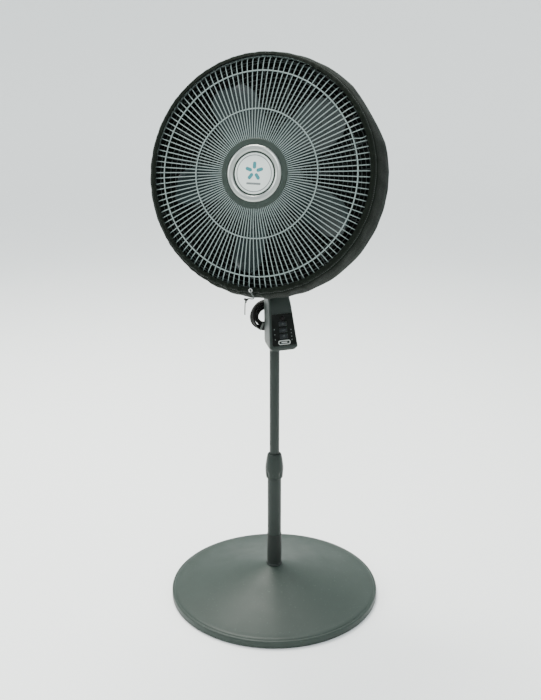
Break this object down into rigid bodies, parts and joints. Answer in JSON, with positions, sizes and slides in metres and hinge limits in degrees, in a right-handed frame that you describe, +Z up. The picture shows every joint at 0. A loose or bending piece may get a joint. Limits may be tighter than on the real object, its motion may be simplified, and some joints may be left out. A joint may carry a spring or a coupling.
{
  "type": "pedestal fan",
  "caption": "Pedestal fan with a domed round base, telescopic pole, key panel on the neck, swinging tilting head, wire guard and slip-on fabric filter cover.",
  "frame": {"origin": "centre of the base on the floor, on the pole's axis", "axes": "+Z up along the pole, -Y the way the key panel faces, +X to the right of someone facing away from the panel's front"},
  "size_m": [0.4952, 0.486, 1.2376],
  "materials": {
    "base_plastic": "satin",
    "ballast": "rough",
    "dark_plastic": "fine texture",
    "rubber": "matt",
    "steel": "zinc plated",
    "painted_tube": "satin",
    "body_plastic": "satin",
    "panel_plastic": "smooth",
    "badge_silver": "bright",
    "lens": "smooth",
    "lamp_lens": "frosted",
    "board": "solder mask",
    "key_plastic": "satin",
    "gear_nylon": "moulded",
    "cord_rubber": "satin",
    "tie": "smooth",
    "brass": "drawn",
    "core_steel": "laminated",
    "copper": "enamelled",
    "cast_alloy": "cast",
    "blade_plastic": "semi-gloss",
    "guard_wire": "satin",
    "badge_face": "smooth",
    "cover_cloth": "woven",
    "cover_mesh": "fine mesh",
    "string": "braided"
  },
  "bodies": {
    "stand": {"base_cover": "base_plastic", "base_weight": "ballast", "base_tray": "dark_plastic", "rubber_feet": "rubber", "base_socket": "dark_plastic", "pole_bolt": "steel", "lower_pole": "painted_tube", "collet": "dark_plastic"},
    "collar": {"height_collar": "body_plastic"},
    "neck": {"upper_pole": "painted_tube", "glide_bush": "dark_plastic", "neck_core": "dark_plastic", "housing_front": "body_plastic", "housing_rear": "body_plastic", "housing_screws": "steel", "panel_overlay": "panel_plastic", "panel_trim": "badge_silver", "receiver_lens": "lens", "indicator_lenses": "lamp_lens", "circuit_board": "board", "oscillation_motor": "steel", "neck_bush": "gear_nylon", "cord_gland": "cord_rubber", "power_cord": "cord_rubber", "cord_coil": "cord_rubber", "cord_tie": "tie", "plug_body": "cord_rubber", "plug_blades": "brass"},
    "power_key": {"power_button": "key_plastic"},
    "speed_key": {"speed_button": "key_plastic"},
    "timer_key": {"timer_button": "key_plastic"},
    "pinion": {"drive_pinion": "gear_nylon"},
    "yoke": {"swivel_yoke": "dark_plastic", "swivel_gear": "gear_nylon", "tilt_pin": "steel"},
    "knob": {"tilt_knob": "dark_plastic"},
    "head": {"motor_cradle": "dark_plastic", "stator_core": "core_steel", "stator_windings": "copper", "front_bell": "cast_alloy", "rear_bell": "cast_alloy", "motor_bearings": "brass", "motor_shell": "body_plastic", "motor_cap": "body_plastic", "guard_nut": "dark_plastic", "rear_guard": "guard_wire", "front_guard": "guard_wire", "guard_rim": "dark_plastic", "badge_dish": "body_plastic", "badge_ring": "badge_silver", "badge_disc": "badge_face", "cover_band": "cover_cloth", "cover_back": "cover_mesh", "cover_elastic": "cover_cloth", "drawstring": "string", "string_eyelet": "steel"},
    "rotor": {"motor_shaft": "steel", "rotor_core": "cast_alloy", "impeller": "blade_plastic", "spinner_nut": "dark_plastic"}
  },
  "joints": [
    {"name": "collar_twist", "type": "hinge", "parent": "stand", "child": "collar", "pos_m": [0, 0, 0.32], "axis": [0, 0, 1], "range_deg": [0, 60]},
    {"name": "height_slide", "type": "slide", "parent": "stand", "child": "neck", "axis": [0, 0, 1], "range_m": [-0.195, 0.02]},
    {"name": "power_press", "type": "slide", "parent": "neck", "child": "power_key", "axis": [0, 0.9598, -0.2807], "range_m": [0, 0.001], "stiffness_N_per_m": 300},
    {"name": "speed_press", "type": "slide", "parent": "neck", "child": "speed_key", "axis": [0, 0.9598, -0.2807], "range_m": [0, 0.001], "stiffness_N_per_m": 300},
    {"name": "timer_press", "type": "slide", "parent": "neck", "child": "timer_key", "axis": [0, 0.9598, -0.2807], "range_m": [0, 0.001], "stiffness_N_per_m": 300},
    {"name": "head_swing", "type": "hinge", "parent": "neck", "child": "yoke", "pos_m": [0, 0, 0.843], "axis": [0, 0, 1], "range_deg": [-7, 83]},
    {"name": "pinion_spin", "type": "hinge", "parent": "neck", "child": "pinion", "pos_m": [0, -0.0121, 0.81], "axis": [0, 0, 1], "range_deg": [-255, 30]},
    {"name": "knob_turn", "type": "hinge", "parent": "yoke", "child": "knob", "pos_m": [0, 0, 0.893], "axis": [0.788, -0.6157, 0], "range_deg": [-180, 0]},
    {"name": "head_tilt", "type": "hinge", "parent": "yoke", "child": "head", "pos_m": [0, 0, 0.893], "axis": [-0.788, 0.6157, 0], "range_deg": [-12.5, 10]},
    {"name": "rotor_spin", "type": "hinge", "parent": "head", "child": "rotor", "pos_m": [0.01433, 0.01834, 0.9749], "axis": [-0.6011, -0.7693, 0.2164], "continuous": true}
  ],
  "couplings": [
    {"joint": "pinion_spin", "follows": "head_swing", "ratio": -3}
  ]
}
